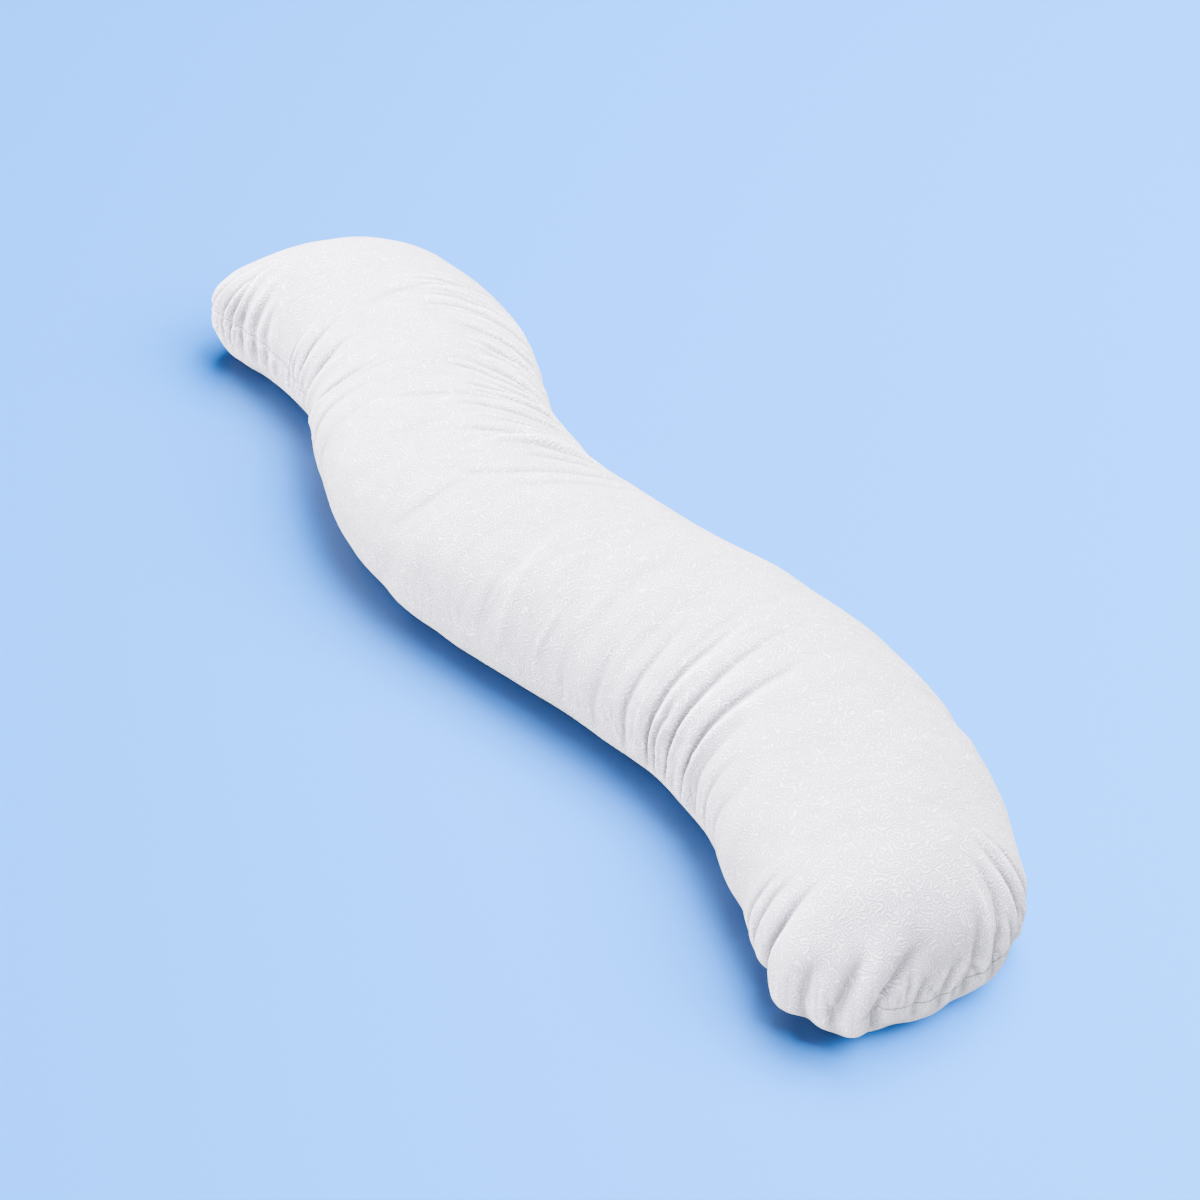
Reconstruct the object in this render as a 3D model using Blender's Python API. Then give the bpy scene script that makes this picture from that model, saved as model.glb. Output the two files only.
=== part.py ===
"""Body pillow: one long, soft, filled solid in a shallow wave, lying on its wide side on a flat surface.

The cover is two panels of one wavy outline, sewn together round the edge, turned and filled. So the solid
has a crown above the seam, a belly under it that is flat where it rests, and gathers where the outline turns
inwards and round both ends. It is a loft between unlike sections: each section starts on the ridge line over
the middle of the pillow, goes down over the crown to the seam, and under the belly to the middle of the
resting patch.

Metres, +Z up. The foot end points to -X, the head end to +X, left is +Y, and the pillow lies on z = 0 with
the middle of its bounding box over the origin.
"""

import bpy
import numpy as np

# ---- driving sizes

LENGTH = 1.45  # along the middle line, from the seam at one end to the seam at the other
START_HEADING = -28.0  # degrees from +X at the foot end, left is positive
FOOT_LENGTH = 0.145  # from the seam at the foot's tip to the middle of its round end
HEAD_LENGTH = 0.172
FOOT_SQUARENESS = 1.80  # power of the end's outline: 2 is an ellipse, more is squarer
HEAD_SQUARENESS = 2.5
FOOT_LEAN = 0.036  # how far the tip lies to the left of the middle line
HEAD_LEAN = 0.072

PATCH_SHARE = 0.56  # half-width of the resting patch, as a share of the pillow's half-width
CROWN_SPREAD = 0.92  # power of the crown's width: under 1 it stays wide further up
CROWN_RISE = 0.95  # power of the crown's height: under 1 it rises sooner
BELLY_SPREAD = 0.9  # power of the belly's width and drop: under 1 it is squarer
SEAM_PINCH = 0.0035  # how far the seam draws the cloth in
SEAM_PINCH_WIDTH = 0.009

# The bends of the middle line: where each one's middle lies, how far it turns, and over what length.
BENDS = [
    # at, degrees, over
    (0.345, 43.0, 0.53),
    (0.905, -38.0, 0.36),
    (1.300, 64.0, 0.59),
]

# The sections: half-widths left and right of the middle line, and heights of the seam and of the ridge.
SECTIONS = [
    # along, left, right, seam, ridge
    (0.14, 0.131, 0.142, 0.058, 0.157),
    (0.24, 0.142, 0.146, 0.062, 0.159),
    (0.45, 0.137, 0.147, 0.065, 0.160),
    (0.66, 0.132, 0.140, 0.068, 0.162),
    (0.80, 0.131, 0.143, 0.069, 0.162),
    (0.91, 0.136, 0.151, 0.070, 0.162),
    (1.05, 0.137, 0.138, 0.070, 0.162),
    (1.17, 0.128, 0.144, 0.068, 0.160),
    (1.29, 0.125, 0.136, 0.066, 0.158),
]

# The gathers: valleys that cross the seam. The place is metres along the middle line on a long side, and
# degrees from the right side round to the left one on an end. Up and down are how far the valley runs over
# the crown and under the belly. Lean is how far its upper end lies nearer the head, or on an end nearer the
# left side.
GATHERS = [
    # side, place, up, down, depth, width, lean
    ("left", 0.285, 0.095, 0.040, 0.004, 0.012, -0.010),
    ("left", 0.337, 0.125, 0.045, 0.006, 0.012, -0.015),
    ("left", 0.389, 0.200, 0.050, 0.012, 0.012, 0.004),
    ("left", 0.428, 0.170, 0.055, 0.009, 0.011, 0.006),
    ("left", 0.468, 0.185, 0.050, 0.010, 0.012, 0.008),
    ("left", 0.512, 0.165, 0.045, 0.008, 0.012, 0.012),
    ("left", 0.561, 0.150, 0.035, 0.006, 0.013, 0.004),
    ("left", 0.618, 0.145, 0.030, 0.004, 0.014, 0.010),
    ("left", 1.015, 0.185, 0.030, 0.005, 0.014, 0.000),
    ("left", 1.056, 0.150, 0.040, 0.007, 0.012, 0.008),
    ("left", 1.090, 0.170, 0.045, 0.009, 0.012, 0.002),
    ("left", 1.144, 0.160, 0.050, 0.010, 0.012, 0.004),
    ("left", 1.194, 0.120, 0.045, 0.007, 0.011, -0.016),
    ("left", 1.236, 0.115, 0.045, 0.008, 0.012, 0.000),
    ("right", 0.775, 0.200, 0.030, 0.004, 0.014, 0.030),
    ("right", 0.815, 0.200, 0.040, 0.006, 0.014, 0.035),
    ("right", 0.855, 0.200, 0.045, 0.009, 0.014, 0.060),
    ("right", 0.905, 0.150, 0.045, 0.006, 0.012, 0.020),
    ("right", 0.955, 0.180, 0.045, 0.008, 0.013, 0.040),
    ("right", 1.015, 0.190, 0.045, 0.007, 0.013, 0.030),
    ("right", 1.055, 0.165, 0.040, 0.006, 0.012, 0.030),
    ("right", 1.090, 0.200, 0.040, 0.007, 0.013, 0.010),
    ("right", 1.125, 0.170, 0.035, 0.005, 0.012, 0.000),
    ("right", 1.155, 0.180, 0.030, 0.004, 0.012, -0.010),
    ("right", 1.225, 0.200, 0.030, 0.005, 0.014, -0.015),
    ("foot", 13, 0.150, 0.045, 0.005, 0.012, 0.000),
    ("foot", 23, 0.160, 0.045, 0.007, 0.011, -0.025),
    ("foot", 32, 0.155, 0.045, 0.009, 0.011, -0.030),
    ("foot", 42, 0.155, 0.045, 0.010, 0.012, -0.018),
    ("foot", 54, 0.130, 0.050, 0.008, 0.011, -0.025),
    ("foot", 66, 0.080, 0.050, 0.006, 0.010, -0.010),
    ("foot", 77, 0.075, 0.050, 0.007, 0.010, -0.020),
    ("foot", 89, 0.100, 0.060, 0.018, 0.014, -0.030),
    ("foot", 110, 0.120, 0.055, 0.010, 0.013, -0.030),
    ("foot", 126, 0.090, 0.055, 0.010, 0.013, 0.000),
    ("foot", 153, 0.135, 0.050, 0.016, 0.014, -0.025),
    ("foot", 165, 0.105, 0.040, 0.006, 0.011, -0.010),
    ("foot", 174, 0.105, 0.040, 0.006, 0.012, -0.010),
    ("head", 12, 0.130, 0.040, 0.005, 0.013, 0.000),
    ("head", 33, 0.150, 0.045, 0.007, 0.012, 0.010),
    ("head", 57, 0.120, 0.045, 0.006, 0.012, 0.010),
    ("head", 80, 0.135, 0.045, 0.008, 0.013, 0.000),
    ("head", 105, 0.110, 0.045, 0.006, 0.012, 0.000),
    ("head", 130, 0.095, 0.050, 0.009, 0.011, 0.006),
    ("head", 144, 0.160, 0.050, 0.012, 0.012, -0.020),
    ("head", 157, 0.130, 0.045, 0.008, 0.011, -0.010),
    ("head", 170, 0.130, 0.045, 0.007, 0.011, -0.008),
]

# The puffs: rounded swells of the filling beside the deepest gathers of the foot end.
PUFFS = [
    # side, place, up, down, height, width
    ("foot", 99, 0.115, 0.055, 0.012, 0.022),
    ("foot", 118, 0.085, 0.050, 0.006, 0.018),
    ("foot", 139, 0.120, 0.055, 0.013, 0.032),
]

# The spacing of the sections along the middle line: close where the cloth is gathered.
STRETCHES = [
    # up to, spacing
    (0.210, 0.0110),
    (0.640, 0.0080),
    (0.770, 0.0220),
    (1.270, 0.0080),
]
FOOT_SPOKES = 46
HEAD_SPOKES = 34
CROWN_ROWS = 11
BELLY_ROWS = 5
ROW_CROWDING = 1.2  # power that draws the rows towards the seam

CLOTH_COLOUR = (0.800, 0.795, 0.820, 1.0)


# ---- the middle line and the outline


def smoothstep(x):
    """0 below 0, 1 above 1, and 3x^2 - 2x^3 between."""
    x = np.clip(x, 0.0, 1.0)
    return x * x * (3.0 - 2.0 * x)


def middle_line(along):
    """Points of the middle line and its direction there: the heading is the sum of the bends, each eased in
    and out by a smoothstep, and the points are the running sum of the direction."""
    fine = np.linspace(0.0, LENGTH, 1451)
    heading = np.full_like(fine, START_HEADING)
    for at, degrees, over in BENDS:
        heading += degrees * smoothstep((fine - at) / over + 0.5)
    ahead = np.stack([np.cos(np.radians(heading)), np.sin(np.radians(heading))], axis=1)
    steps = (ahead[1:] + ahead[:-1]) / 2 * (fine[1] - fine[0])
    points = np.concatenate([np.zeros((1, 2)), np.cumsum(steps, axis=0)])
    both = np.concatenate([points, ahead], axis=1)
    found = np.stack([np.interp(along, fine, both[:, k]) for k in range(4)], axis=-1)
    return found[..., :2], found[..., 2:]


def section_size(along, column):
    """A column of SECTIONS at these places, eased from row to row by a smoothstep."""
    rows = np.array(SECTIONS)
    last = np.clip(np.searchsorted(rows[:, 0], along) - 1, 0, len(rows) - 2)
    share = smoothstep((along - rows[last, 0]) / (rows[last + 1, 0] - rows[last, 0]))
    return rows[last, column] * (1 - share) + rows[last + 1, column] * share


def to_the_right(ahead):
    return np.stack([ahead[..., 1], -ahead[..., 0]], axis=-1)


def side_outline(along, side):
    """Middle and seam points along one long side; side is 1 on the right and -1 on the left."""
    middle, ahead = middle_line(along)
    width = section_size(along, 2 if side > 0 else 1)
    return middle, middle + side * width[:, None] * to_the_right(ahead)


def end_outline(angles, at, reach, power, lean, outwards):
    """Middle and seam points round one end, for angles from the right side: a superellipse whose tip is
    drawn to the left by the lean. Outwards is 1 at the head and -1 at the foot."""
    middle, ahead = middle_line(np.full_like(angles, at))
    across = np.sign(np.cos(angles)) * np.abs(np.cos(angles)) ** (2 / power)
    onwards = np.sin(angles) ** (2 / power)
    width = section_size(np.full_like(angles, at), np.where(across > 0, 2, 1))
    sideways = across * width - lean * onwards**2
    seam = middle + sideways[:, None] * to_the_right(ahead) + (outwards * reach * onwards)[:, None] * ahead
    return middle, seam


def section_places():
    """Where the sections cut the middle line between the two round ends."""
    start = FOOT_LENGTH
    places = []
    for stop, spacing in STRETCHES:
        count = max(1, round((stop - start) / spacing))
        places.append(np.linspace(start, stop, count, endpoint=False))
        start = stop
    return np.append(np.concatenate(places), LENGTH - HEAD_LENGTH)


# ---- places on the cloth

USUAL_WIDTH = 0.138  # half-width of the pillow, and the metres of edge to a radian round an end
USUAL_RISE = 0.094  # of the ridge over the seam
USUAL_DROP = 0.067  # of the resting patch under the seam
STRAIGHT = LENGTH - FOOT_LENGTH - HEAD_LENGTH
ROUND = STRAIGHT * 2 + np.pi * USUAL_WIDTH * 2


def round_the_edge(side, place):
    """Metres round the edge, counter-clockwise from above, from the foot end's right corner."""
    if side == "right":
        return place - FOOT_LENGTH
    if side == "head":
        return STRAIGHT + np.radians(place) * USUAL_WIDTH
    if side == "left":
        return STRAIGHT + np.pi * USUAL_WIDTH + (LENGTH - HEAD_LENGTH - place)
    return ROUND - np.radians(place) * USUAL_WIDTH


def quarter_arc(a, b):
    """Length of a quarter of an ellipse with half-axes a and b, near enough."""
    return np.pi / 2 * np.sqrt((a * a + b * b) / 2)


CROWN_ARC = quarter_arc(USUAL_WIDTH, USUAL_RISE)
BELLY_ARC = quarter_arc(USUAL_WIDTH * (1 - PATCH_SHARE), USUAL_DROP)


def profile(rows_above, rows_below):
    """The section's shape from the ridge down to the edge of the resting patch: the share of the half-width,
    the share of the rise above the seam, the share of the drop below it, and the way from the seam along the
    cloth."""
    above = np.linspace(1.0, 0.0, rows_above + 1) ** ROW_CROWDING
    below = np.linspace(0.0, 1.0, rows_below + 1)[1:] ** ROW_CROWDING
    up = above * np.pi / 2
    down = below * np.pi / 2
    belly = PATCH_SHARE + (1 - PATCH_SHARE) * np.cos(down) ** BELLY_SPREAD
    wide = np.concatenate([np.cos(up) ** CROWN_SPREAD, belly])
    rise = np.concatenate([np.sin(up) ** CROWN_RISE, np.zeros(rows_below)])
    drop = np.concatenate([np.zeros(rows_above + 1), np.sin(down) ** BELLY_SPREAD])
    way = np.concatenate([above * CROWN_ARC, -below * BELLY_ARC])
    wide[0] = 0.0
    drop[-1] = 1.0
    return wide, rise, drop, way


def along_the_edge(around, side, place):
    """Signed distance round the edge from a place, the short way."""
    return (around - round_the_edge(side, place) + ROUND / 2) % ROUND - ROUND / 2


def fade(way, up, down):
    """1 at the seam, easing to 0 at a distance up over the crown and down under the belly: it starts to ease
    a quarter of the way up and a fifth of the way down."""
    over = smoothstep((up - way) / (0.75 * up))
    under = smoothstep((down + way) / (0.80 * down))
    return np.where(way > 0, over, under)


def valley(off):
    """A gather's cross-section for distances in its own widths: 1 in its rounded bottom, falling off as an
    exponential, with a low swell of the cloth that it takes up on both sides."""
    bottom = 0.25
    sharp = np.exp(bottom - np.sqrt(off**2 + bottom**2))
    return 1.35 * sharp - 0.35 * np.exp(-((off / 2.4) ** 2))


def relief(around, way):
    """How far the cloth stands out of its plain section, for each place round the edge and way from the
    seam."""
    around = around[:, None]
    way = way[None, :]
    height = np.zeros((around.shape[0], way.shape[1]))
    for side, place, up, down, depth, width, lean in GATHERS:
        towards = 1.0 if side in ("right", "head") else -1.0
        shift = towards * lean * np.clip(way / up, 0.0, 1.0)
        off = (along_the_edge(around, side, place) - shift) / width
        height -= depth * valley(off) * fade(way, up, down)
    for side, place, up, down, puff, width in PUFFS:
        off = along_the_edge(around, side, place) / width
        height += puff * np.exp(-(off**2)) * fade(way, up, down)
    return height - SEAM_PINCH * np.exp(-((way / SEAM_PINCH_WIDTH) ** 2))


# ---- the solid


def outline(places, foot_spokes, head_spokes):
    """The whole edge, counter-clockwise from above: middle points, seam points, the place along the middle
    line, metres round the edge, and which point of the ridge each column of the loft ends on."""
    last = len(places) - 1
    head = np.linspace(0, np.pi, head_spokes + 2)[1:-1]
    foot = np.linspace(np.pi, 0, foot_spokes + 2)[1:-1]
    runs = [
        side_outline(places, 1),
        end_outline(head, places[-1], HEAD_LENGTH, HEAD_SQUARENESS, HEAD_LEAN, 1),
        side_outline(places[::-1], -1),
        end_outline(foot, places[0], FOOT_LENGTH, FOOT_SQUARENESS, FOOT_LEAN, -1),
    ]
    middle = np.concatenate([run[0] for run in runs])
    seam = np.concatenate([run[1] for run in runs])
    along = np.concatenate(
        [places, np.full(head_spokes, places[-1]), places[::-1], np.full(foot_spokes, places[0])]
    )
    around = np.concatenate(
        [
            round_the_edge("right", places),
            round_the_edge("head", np.degrees(head)),
            round_the_edge("left", places[::-1]),
            round_the_edge("foot", np.degrees(foot)),
        ]
    )
    ends_on = np.concatenate(
        [
            np.arange(last + 1),
            np.full(head_spokes, last),
            np.arange(last, -1, -1),
            np.zeros(foot_spokes, int),
        ]
    )
    return middle, seam, along, around, ends_on


def cloth_grid(middle, seam, along, around):
    """Points of the loft, columns round the edge by rows from the ridge down, with the gathers pressed in
    along the normals of the plain form."""
    wide, rise, drop, way = profile(CROWN_ROWS, BELLY_ROWS)
    seam_height = section_size(along, 3)[:, None]
    ridge_height = section_size(along, 4)[:, None]
    flat = middle[:, None] + (seam - middle)[:, None] * wide[None, :, None]
    high = seam_height * (1 - drop) + (ridge_height - seam_height) * rise
    grid = np.concatenate([flat, high[..., None]], axis=2)
    round_way = np.roll(grid, -1, axis=0) - np.roll(grid, 1, axis=0)
    down_way = np.gradient(grid, axis=1)
    normal = np.cross(down_way, round_way)
    normal /= np.maximum(np.linalg.norm(normal, axis=2, keepdims=True), 1e-9)
    stand = relief(around, way)
    stand[:, 0] = 0.0
    stand[:, -1] = 0.0
    grid += normal * stand[..., None]
    grid[..., 2] = np.maximum(grid[..., 2], 0.0)
    return grid


def pillow_mesh():
    """The closed mesh: the columns of the loft share the points of the ridge and of the patch's middle
    line."""
    places = section_places()
    middle, seam, along, around, ends_on = outline(places, FOOT_SPOKES, HEAD_SPOKES)
    grid = cloth_grid(middle, seam, along, around)
    columns, rows = grid.shape[:2]
    ridge = np.concatenate([middle_line(places)[0], section_size(places, 4)[:, None]], axis=1)
    patch = ridge * [1, 1, 0]
    points = np.concatenate([grid[:, 1:].reshape(-1, 3), ridge, patch])
    points -= (points.min(axis=0) + points.max(axis=0)) / 2 * [1, 1, 0]

    first_ridge = columns * (rows - 1)
    first_patch = first_ridge + len(places)
    number = np.empty((columns, rows + 1), int)
    number[:, 0] = first_ridge + ends_on
    number[:, 1:-1] = np.arange(columns * (rows - 1)).reshape(columns, rows - 1)
    number[:, -1] = first_patch + ends_on
    beside = np.roll(number, -1, axis=0)
    corners = np.stack([number[:, :-1], number[:, 1:], beside[:, 1:], beside[:, :-1]], axis=2)
    faces = [list(dict.fromkeys(face)) for face in corners.reshape(-1, 4).tolist()]
    mesh = bpy.data.meshes.new("pillow")
    mesh.from_pydata(points.tolist(), [], faces)
    mesh.validate()
    mesh.shade_smooth()
    return mesh


# ---- the material and the scene


def cloth_material():
    """Off-white brushed knit."""
    material = bpy.data.materials.new("cover")
    material.use_nodes = True
    shader = material.node_tree.nodes["Principled BSDF"]
    shader.inputs["Base Color"].default_value = CLOTH_COLOUR
    shader.inputs["Roughness"].default_value = 0.9
    shader.inputs["Metallic"].default_value = 0.0
    shader.inputs["Sheen Weight"].default_value = 0.3
    return material


for old in list(bpy.data.objects):
    bpy.data.objects.remove(old, do_unlink=True)

parts = bpy.data.collections.new("body pillow")
bpy.context.scene.collection.children.link(parts)

pillow = bpy.data.objects.new("pillow", pillow_mesh())
pillow.data.materials.append(cloth_material())
parts.objects.link(pillow)
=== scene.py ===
"""Body pillow: a long, soft, filled pillow in a shallow wave, lying on its wide side on a pale floor.

Metres, +Z up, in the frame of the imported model: the foot end points to -X, the head end to +X, left is +Y.
"""

import bpy
import numpy as np
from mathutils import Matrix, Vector


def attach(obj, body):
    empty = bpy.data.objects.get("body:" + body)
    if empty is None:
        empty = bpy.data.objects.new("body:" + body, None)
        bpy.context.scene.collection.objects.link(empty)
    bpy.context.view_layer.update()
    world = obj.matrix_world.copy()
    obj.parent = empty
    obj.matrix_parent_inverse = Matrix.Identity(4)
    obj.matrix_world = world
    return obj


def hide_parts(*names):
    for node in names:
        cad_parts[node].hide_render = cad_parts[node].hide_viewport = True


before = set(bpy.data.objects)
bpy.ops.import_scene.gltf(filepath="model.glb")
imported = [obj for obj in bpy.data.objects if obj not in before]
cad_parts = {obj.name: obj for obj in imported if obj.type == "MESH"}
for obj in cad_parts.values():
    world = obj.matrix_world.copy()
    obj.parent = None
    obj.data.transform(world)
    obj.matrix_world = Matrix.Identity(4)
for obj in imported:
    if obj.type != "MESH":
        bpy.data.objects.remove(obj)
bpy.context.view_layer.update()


# ==== The filled cover ====
# Two panels of off-white brushed knit, both cut to one wavy outline, sewn face to face round the whole edge,
# turned and filled tight with loose fibre. The seam draws the edge in, and the cloth gathers across it where
# the outline turns inwards and round both ends.

LENGTH = 1.45  # along the middle line, from the seam at one end to the seam at the other
START_HEADING = -28.0  # degrees from +X at the foot end, left is positive
FOOT_LENGTH = 0.145  # from the seam at the foot's tip to the middle of its round end
HEAD_LENGTH = 0.172
FOOT_SQUARENESS = 1.80  # power of the end's outline: 2 is an ellipse, more is squarer
HEAD_SQUARENESS = 2.5
FOOT_LEAN = 0.036  # how far the tip lies to the left of the middle line
HEAD_LEAN = 0.072

PATCH_SHARE = 0.56  # half-width of the resting patch, as a share of the pillow's half-width
CROWN_SPREAD = 0.92  # power of the crown's width: under 1 it stays wide further up
CROWN_RISE = 0.95  # power of the crown's height: under 1 it rises sooner
BELLY_SPREAD = 0.9  # power of the belly's width and drop: under 1 it is squarer
SEAM_PINCH = 0.0022  # how far the seam draws the cloth in
SEAM_PINCH_WIDTH = 0.005
SEAM_HOLD = 0.55  # how much shallower the gathers are on the seam, which its stitches hold taut
SEAM_HOLD_DEPTH = 0.006  # what of a gather's depth they hold
SEAM_HOLD_WIDTH = 0.009

# The bends of the middle line: where each one's middle lies, how far it turns, and over what length.
BENDS = [
    # at, degrees, over
    (0.345, 43.0, 0.53),
    (0.905, -38.0, 0.36),
    (1.300, 64.0, 0.59),
]

# The sections: half-widths left and right of the middle line, and heights of the seam and of the ridge.
SECTIONS = [
    # along, left, right, seam, ridge
    (0.14, 0.131, 0.142, 0.058, 0.157),
    (0.24, 0.142, 0.146, 0.062, 0.159),
    (0.45, 0.137, 0.147, 0.065, 0.160),
    (0.66, 0.132, 0.140, 0.068, 0.162),
    (0.80, 0.131, 0.143, 0.069, 0.162),
    (0.91, 0.136, 0.151, 0.070, 0.162),
    (1.05, 0.137, 0.138, 0.070, 0.162),
    (1.17, 0.128, 0.144, 0.068, 0.160),
    (1.29, 0.125, 0.136, 0.066, 0.158),
]

# The gathers: valleys that cross the seam. The place is metres along the middle line on a long side, and
# degrees from the right side round to the left one on an end. Up and down are how far the valley runs over
# the crown and under the belly. Lean is how far its upper end lies nearer the head, or on an end nearer the
# left side, and bow how much further it curves that way where it nears the ridge.
GATHERS = [
    # side, place, up, down, depth, width, lean, bow
    ("left", 0.285, 0.095, 0.034, 0.003, 0.011, -0.010, 0.0),
    ("left", 0.326, 0.110, 0.034, 0.004, 0.010, -0.010, 0.0),
    ("left", 0.358, 0.150, 0.034, 0.005, 0.012, 0.000, 0.0),
    ("left", 0.394, 0.220, 0.034, 0.0095, 0.0075, 0.000, 0.0),
    ("left", 0.435, 0.200, 0.034, 0.0095, 0.0065, 0.003, 0.0),
    ("left", 0.461, 0.095, 0.034, 0.005, 0.005, -0.003, 0.0),
    ("left", 0.479, 0.215, 0.034, 0.0105, 0.0075, -0.002, 0.0),
    ("left", 0.520, 0.190, 0.034, 0.005, 0.008, 0.000, 0.0),
    ("left", 0.568, 0.150, 0.034, 0.0025, 0.011, -0.003, 0.0),
    ("left", 0.618, 0.110, 0.034, 0.0018, 0.013, 0.000, 0.0),
    ("left", 1.013, 0.200, 0.020, 0.0025, 0.012, 0.006, 0.0),
    ("left", 1.050, 0.150, 0.024, 0.004, 0.008, 0.003, 0.0),
    ("left", 1.093, 0.160, 0.022, 0.008, 0.007, -0.002, 0.0),
    ("left", 1.165, 0.135, 0.034, 0.011, 0.008, -0.003, 0.0),
    ("left", 1.213, 0.130, 0.034, 0.009, 0.007, 0.000, 0.0),
    ("left", 1.256, 0.060, 0.034, 0.005, 0.005, -0.008, 0.0),
    ("right", 0.780, 0.045, 0.030, 0.0025, 0.008, -0.010, 0.0),
    ("right", 0.822, 0.048, 0.040, 0.004, 0.009, -0.010, 0.0),
    ("right", 0.858, 0.048, 0.045, 0.005, 0.009, -0.010, 0.0),
    ("right", 0.890, 0.045, 0.040, 0.004, 0.008, -0.010, 0.0),
    ("right", 0.925, 0.048, 0.045, 0.005, 0.009, -0.010, 0.0),
    ("right", 0.960, 0.048, 0.045, 0.005, 0.009, -0.010, 0.0),
    ("right", 0.992, 0.045, 0.040, 0.004, 0.008, -0.010, 0.0),
    ("right", 1.030, 0.048, 0.045, 0.005, 0.009, -0.010, 0.0),
    ("right", 1.062, 0.045, 0.040, 0.004, 0.008, -0.010, 0.0),
    ("right", 1.095, 0.048, 0.040, 0.004, 0.009, -0.010, 0.0),
    ("right", 1.130, 0.045, 0.035, 0.003, 0.009, -0.010, 0.0),
    ("right", 1.165, 0.045, 0.030, 0.0025, 0.009, -0.010, 0.0),
    ("foot", 13, 0.130, 0.035, 0.004, 0.006, -0.025, -0.030),
    ("foot", 25, 0.140, 0.035, 0.006, 0.007, -0.028, -0.030),
    ("foot", 39, 0.140, 0.030, 0.006, 0.007, -0.044, 0.0),
    ("foot", 50, 0.080, 0.040, 0.005, 0.006, -0.018, 0.0),
    ("foot", 61, 0.045, 0.040, 0.003, 0.005, -0.020, 0.0),
    ("foot", 70, 0.040, 0.040, 0.003, 0.005, -0.018, 0.0),
    ("foot", 86, 0.074, 0.046, 0.0225, 0.0095, -0.040, 0.0),
    ("foot", 108, 0.085, 0.026, 0.008, 0.012, -0.036, 0.0),
    ("foot", 124, 0.055, 0.045, 0.005, 0.007, -0.010, 0.0),
    ("foot", 154, 0.130, 0.050, 0.012, 0.009, -0.030, 0.0),
    ("foot", 166, 0.110, 0.040, 0.006, 0.007, -0.014, 0.0),
    ("foot", 175, 0.100, 0.040, 0.0045, 0.007, -0.010, 0.0),
    ("head", 12, 0.060, 0.040, 0.003, 0.013, 0.000, 0.0),
    ("head", 33, 0.065, 0.045, 0.004, 0.012, 0.010, 0.0),
    ("head", 57, 0.060, 0.045, 0.004, 0.011, 0.010, 0.0),
    ("head", 80, 0.060, 0.045, 0.004, 0.011, 0.000, 0.0),
    ("head", 105, 0.075, 0.045, 0.004, 0.010, 0.000, 0.0),
    ("head", 125, 0.140, 0.040, 0.0035, 0.007, 0.006, -0.080),
    ("head", 141, 0.130, 0.035, 0.0060, 0.006, 0.000, -0.080),
    ("head", 148, 0.150, 0.030, 0.0070, 0.007, 0.000, -0.100),
    ("head", 157, 0.140, 0.025, 0.0045, 0.006, -0.010, -0.070),
    ("head", 166, 0.125, 0.025, 0.0045, 0.006, -0.012, -0.040),
    ("head", 172, 0.110, 0.025, 0.0035, 0.005, -0.012, -0.020),
]

# The tucks: thin raised folds that stand between the gathers, with the same columns.
TUCKS = [
    # side, place, up, down, height, width, lean, bow
    ("left", 0.377, 0.180, 0.030, 0.0048, 0.006, 0.000, 0.0),
    ("left", 0.422, 0.150, 0.030, 0.0037, 0.005, 0.002, 0.0),
    ("left", 0.450, 0.085, 0.030, 0.0032, 0.004, 0.000, 0.0),
    ("left", 0.466, 0.175, 0.030, 0.0039, 0.005, -0.006, 0.0),
    ("left", 0.495, 0.140, 0.030, 0.0025, 0.006, 0.002, 0.0),
    ("left", 1.080, 0.140, 0.012, 0.0036, 0.004, 0.002, 0.0),
    ("left", 1.133, 0.130, 0.030, 0.0059, 0.009, 0.002, 0.0),
    ("left", 1.194, 0.095, 0.030, 0.0042, 0.006, 0.000, 0.0),
    ("left", 1.240, 0.110, 0.030, 0.0039, 0.005, -0.004, 0.0),
    ("foot", 19, 0.120, 0.030, 0.0035, 0.006, -0.028, -0.030),
    ("foot", 28, 0.130, 0.025, 0.0045, 0.006, -0.016, -0.020),
    ("foot", 33, 0.050, 0.020, 0.0030, 0.004, 0.000, 0.0),
    ("foot", 44, 0.130, 0.030, 0.0045, 0.006, -0.026, 0.0),
    ("foot", 54, 0.040, 0.030, 0.0030, 0.004, -0.020, 0.0),
    ("foot", 58, 0.045, 0.030, 0.0032, 0.004, -0.028, 0.0),
    ("foot", 66, 0.045, 0.030, 0.0032, 0.004, -0.030, 0.0),
    ("foot", 75, 0.035, 0.030, 0.0025, 0.004, -0.012, 0.0),
    ("head", 132, 0.145, 0.020, 0.0040, 0.005, 0.006, -0.100),
    ("head", 144, 0.120, 0.020, 0.0036, 0.004, -0.004, -0.070),
    ("head", 152, 0.150, 0.020, 0.0050, 0.005, 0.000, -0.090),
    ("head", 162, 0.140, 0.030, 0.0045, 0.0045, -0.010, -0.050),
    ("head", 169, 0.100, 0.030, 0.0042, 0.005, -0.012, 0.0),
    ("head", 176, 0.070, 0.030, 0.0032, 0.004, -0.008, 0.0),
]

# The puffs: rounded swells of the filling beside the deepest gathers of the foot end.
PUFFS = [
    # side, place, up, down, height, width, lean, bow
    ("foot", 98, 0.110, 0.055, 0.011, 0.028, -0.040, 0.0),
    ("foot", 114, 0.090, 0.050, 0.007, 0.020, -0.026, 0.0),
    ("foot", 134, 0.120, 0.055, 0.013, 0.034, -0.010, 0.0),
]


def smoothstep(x):
    """0 below 0, 1 above 1, and 3x^2 - 2x^3 between."""
    x = np.clip(x, 0.0, 1.0)
    return x * x * (3.0 - 2.0 * x)


MIDDLE_LINE_POINTS = 1451  # one to a millimetre


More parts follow.
